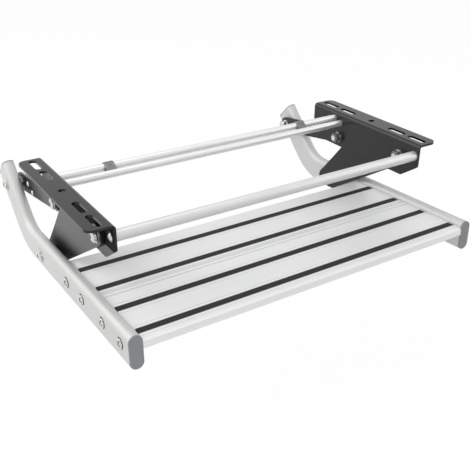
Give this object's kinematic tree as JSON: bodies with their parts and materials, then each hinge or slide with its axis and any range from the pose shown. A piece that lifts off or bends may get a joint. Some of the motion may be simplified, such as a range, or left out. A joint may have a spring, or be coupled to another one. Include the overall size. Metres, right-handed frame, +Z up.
{
  "type": "camper entry step",
  "caption": "Swing-out entry step for a camper: slotted angle brackets, cross rods, flat links and an aluminium tread with rubber grip strips on bent side rails.",
  "frame": {"origin": "level with the brackets' top mounting faces, midway between the brackets and midway along them", "axes": "+X to the right across the step, +Y towards the vehicle (rear), +Z up; a user climbs along +Y, and the tread swings out towards -Y"},
  "size_m": [0.5048, 0.4135, 0.1357],
  "materials": {
    "black_coat": "satin black powder coat on sheet steel",
    "rail_aluminium": "satin anodised tube",
    "tread_aluminium": "anodised extrusion with fine lines along it",
    "bright_rod": "smooth bright drawn rod",
    "zinc_steel": "bright zinc-plated fasteners",
    "black_rubber": "matt ribbed rubber",
    "grey_plastic": "fine-grained moulded plastic",
    "black_plastic": "moulded bearing plastic"
  },
  "bodies": {
    "mounting_frame": {"left_bracket": "black_coat", "right_bracket": "black_coat", "front_cross_rod": "bright_rod", "rear_cross_rod": "bright_rod", "tie_bar": "bright_rod", "rod_clamps": "zinc_steel", "front_rod_screws": "zinc_steel", "front_rod_washers": "black_plastic", "rear_rod_screws": "zinc_steel", "rear_rod_washers": "black_plastic", "tie_bar_screws": "zinc_steel", "tie_bar_washers": "black_plastic", "front_pivot_bolts": "zinc_steel", "front_pivot_washers": "zinc_steel", "front_pivot_seals": "black_plastic", "front_pivot_bushes": "black_plastic", "front_pivot_nuts": "zinc_steel", "rear_pivot_bolts": "zinc_steel", "rear_pivot_washers": "zinc_steel", "rear_pivot_seals": "black_plastic", "rear_pivot_bushes": "black_plastic", "rear_pivot_nuts": "zinc_steel"},
    "front_links": {"left_front_link": "black_coat", "right_front_link": "black_coat"},
    "rear_links": {"left_rear_link": "black_coat", "right_rear_link": "black_coat", "rear_link_rivets": "zinc_steel", "upper_pivot_washers": "zinc_steel", "upper_pivot_nuts": "zinc_steel", "upper_pivot_studs": "zinc_steel"},
    "step": {"left_rail": "rail_aluminium", "right_rail": "rail_aluminium", "left_front_cap": "grey_plastic", "right_front_cap": "grey_plastic", "left_leg_plug": "grey_plastic", "right_leg_plug": "grey_plastic", "front_tread_plank": "tread_aluminium", "rear_tread_plank": "tread_aluminium", "grip_strip_1": "black_rubber", "grip_strip_2": "black_rubber", "grip_strip_3": "black_rubber", "grip_strip_4": "black_rubber", "tread_screws": "zinc_steel", "lower_pivot_washers": "zinc_steel", "lower_pivot_nuts": "zinc_steel", "lower_pivot_bolts": "zinc_steel", "lower_pivot_spacers": "black_plastic", "lower_pivot_sleeves": "zinc_steel", "upper_pivot_bolts": "zinc_steel", "upper_pivot_spacers": "black_plastic", "upper_pivot_sleeves": "zinc_steel", "rail_washers": "zinc_steel"}
  },
  "joints": [
    {"name": "front_link_swing", "type": "hinge", "parent": "mounting_frame", "child": "front_links", "pos_m": [0, -0.076, -0.0245], "axis": [-1, 0, 0], "range_deg": [0, 102.56]},
    {"name": "rear_link_swing", "type": "hinge", "parent": "mounting_frame", "child": "rear_links", "pos_m": [0, 0.0515, -0.0375], "axis": [-1, 0, 0], "range_deg": [0, 148.89]},
    {"name": "step_swing", "type": "hinge", "parent": "front_links", "child": "step", "pos_m": [0, 0.07236, -0.11446], "axis": [-1, 0, 0], "range_deg": [-104.7, 0]}
  ],
  "couplings": [
    {"joint": "rear_link_swing", "follows": "front_link_swing", "ratio": 1.4516},
    {"joint": "step_swing", "follows": "front_link_swing", "ratio": -1.0208}
  ]
}
